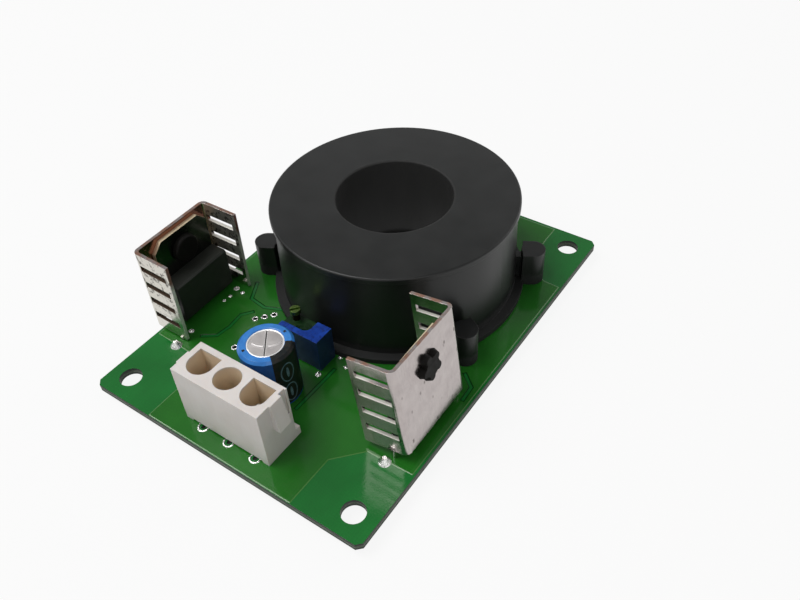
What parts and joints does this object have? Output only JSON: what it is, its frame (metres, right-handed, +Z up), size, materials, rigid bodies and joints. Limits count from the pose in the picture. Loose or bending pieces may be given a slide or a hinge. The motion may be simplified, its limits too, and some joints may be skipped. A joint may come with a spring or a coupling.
{
  "type": "hall effect current sensor",
  "caption": "Open-board closed-loop Hall effect current sensor with a black conductor drum, heat sinks and header.",
  "frame": {"origin": "on the axis of the conductor hole, at the underside of the circuit board", "axes": "+Z up out of the board along the conductor hole, +Y from the connector towards the drum, +X to the right seen from the connector edge"},
  "size_m": [0.0668, 0.089, 0.0252],
  "materials": {
    "board_laminate": "green solder mask over glass laminate, glossy",
    "black_moulding": "black moulded plastic, satin",
    "plated_steel": "zinc plated, satin",
    "core_steel": "bare magnetic alloy",
    "enamelled_copper": "enamelled copper wire, glossy",
    "black_epoxy": "moulded semiconductor epoxy, matte",
    "cast_resin": "cast potting resin, satin",
    "tinned_sheet": "tin plated sheet with fine scratches, satin",
    "tinned_legs": "tinned copper, satin",
    "tab_metal": "nickel plated copper, satin",
    "rivet_plastic": "black nylon, satin",
    "cream_nylon": "natural nylon, satin",
    "can_aluminium": "bare drawn aluminium, satin",
    "blue_sleeve": "shrunk sleeve, glossy",
    "bung_rubber": "black rubber, matte",
    "trimmer_blue": "blue moulded plastic, satin",
    "adjuster_brass": "turned brass, satin",
    "solder": "bright solder"
  },
  "bodies": {
    "sensor": {"circuit_board": "board_laminate", "sensor_housing": "black_moulding", "housing_screws": "plated_steel", "magnetic_core": "core_steel", "secondary_winding": "enamelled_copper", "winding_wires": "enamelled_copper", "hall_element": "black_epoxy", "hall_element_leads": "tinned_legs", "potting_resin": "cast_resin", "heat_sink_left": "tinned_sheet", "transistor_left_tab": "tab_metal", "transistor_left_body": "black_epoxy", "transistor_left_leads": "tinned_legs", "snap_rivet_left": "rivet_plastic", "heat_sink_right": "tinned_sheet", "transistor_right_tab": "tab_metal", "transistor_right_body": "black_epoxy", "transistor_right_leads": "tinned_legs", "snap_rivet_right": "rivet_plastic", "connector_housing": "cream_nylon", "connector_pins": "tinned_legs", "capacitor_can": "can_aluminium", "capacitor_sleeve": "blue_sleeve", "capacitor_bung": "bung_rubber", "capacitor_leads": "tinned_legs", "trimmer_housing": "trimmer_blue", "trimmer_seal": "trimmer_blue", "trimmer_leads": "tinned_legs", "solder_joints": "solder", "top_solder_joints": "solder"},
    "adjuster": {"trimmer_screw": "adjuster_brass"}
  },
  "joints": [
    {"name": "trimmer_turn", "type": "hinge", "parent": "sensor", "child": "adjuster", "pos_m": [-0.0045, -0.0281, 0.0095], "axis": [0, 0, 1], "continuous": true}
  ]
}
